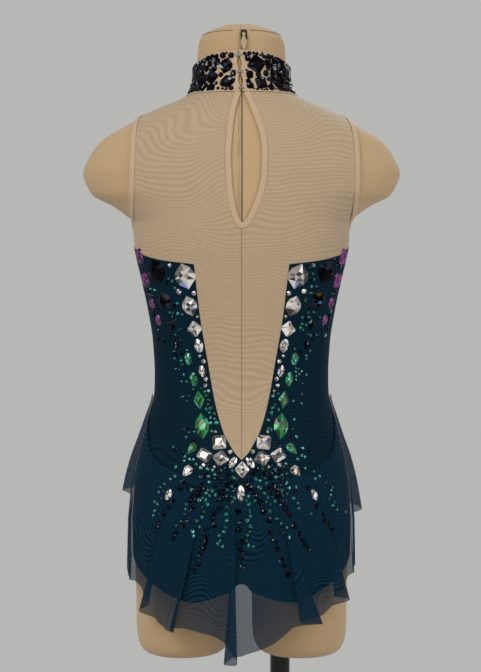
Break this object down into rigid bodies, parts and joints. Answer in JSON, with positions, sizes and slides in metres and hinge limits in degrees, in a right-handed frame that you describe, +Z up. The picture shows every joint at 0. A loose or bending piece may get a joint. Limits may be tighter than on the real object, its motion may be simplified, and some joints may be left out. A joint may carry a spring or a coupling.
{
  "type": "leotard on a dress form",
  "caption": "Sleeveless skating or gymnastics leotard with a deep V back, jewelled collar and high-low sheer skirt, on a child's dress form with a stand.",
  "frame": {"origin": "on the floor under the middle of the base", "axes": "+Z up; the back of the garment, which has the V opening, faces -Y and the wearer's right side is at +X"},
  "size_m": [0.3546, 0.32, 0.9507],
  "materials": {
    "form_cloth": "beige knitted cover",
    "teal_cloth": "dark teal stretch cloth",
    "nude_mesh": "fine nude stretch mesh",
    "nude_elastic": "nude binding elastic",
    "black_stones": "faceted black stones on nude cloth",
    "clear_stones": "faceted clear crystal, foiled back",
    "green_stones": "faceted green crystal",
    "magenta_stones": "faceted magenta crystal",
    "sea_green_stones": "small faceted sea green crystals",
    "sheer_skirt": "dark teal sheer mesh",
    "silver": "bright",
    "dark_metal": "dark",
    "brass": "pale brass",
    "black_gloss": "black gloss"
  },
  "bodies": {
    "root": {"dress_form": "form_cloth", "neck_cap": "form_cloth", "back_body": "teal_cloth", "front_body": "teal_cloth", "back_mesh_left": "nude_mesh", "back_mesh_right": "nude_mesh", "front_mesh": "nude_mesh", "keyhole_binding": "nude_elastic", "armhole_binding_left": "nude_elastic", "armhole_binding_right": "nude_elastic", "collar": "black_stones", "closure_bottom": "silver", "closure_middle": "silver", "closure_top": "silver", "skirt_back": "sheer_skirt", "skirt_front": "sheer_skirt", "zip_slider": "dark_metal", "pole": "black_gloss", "base": "black_gloss"},
    "pull_tab": {"zip_pull": "brass"}
  },
  "joints": [
    {"name": "pull_tab_hinge", "type": "hinge", "parent": "root", "child": "pull_tab", "pos_m": [0.0025, -0.0505, 0.934], "axis": [-1, 0, 0], "range_deg": [0, 150]}
  ]
}
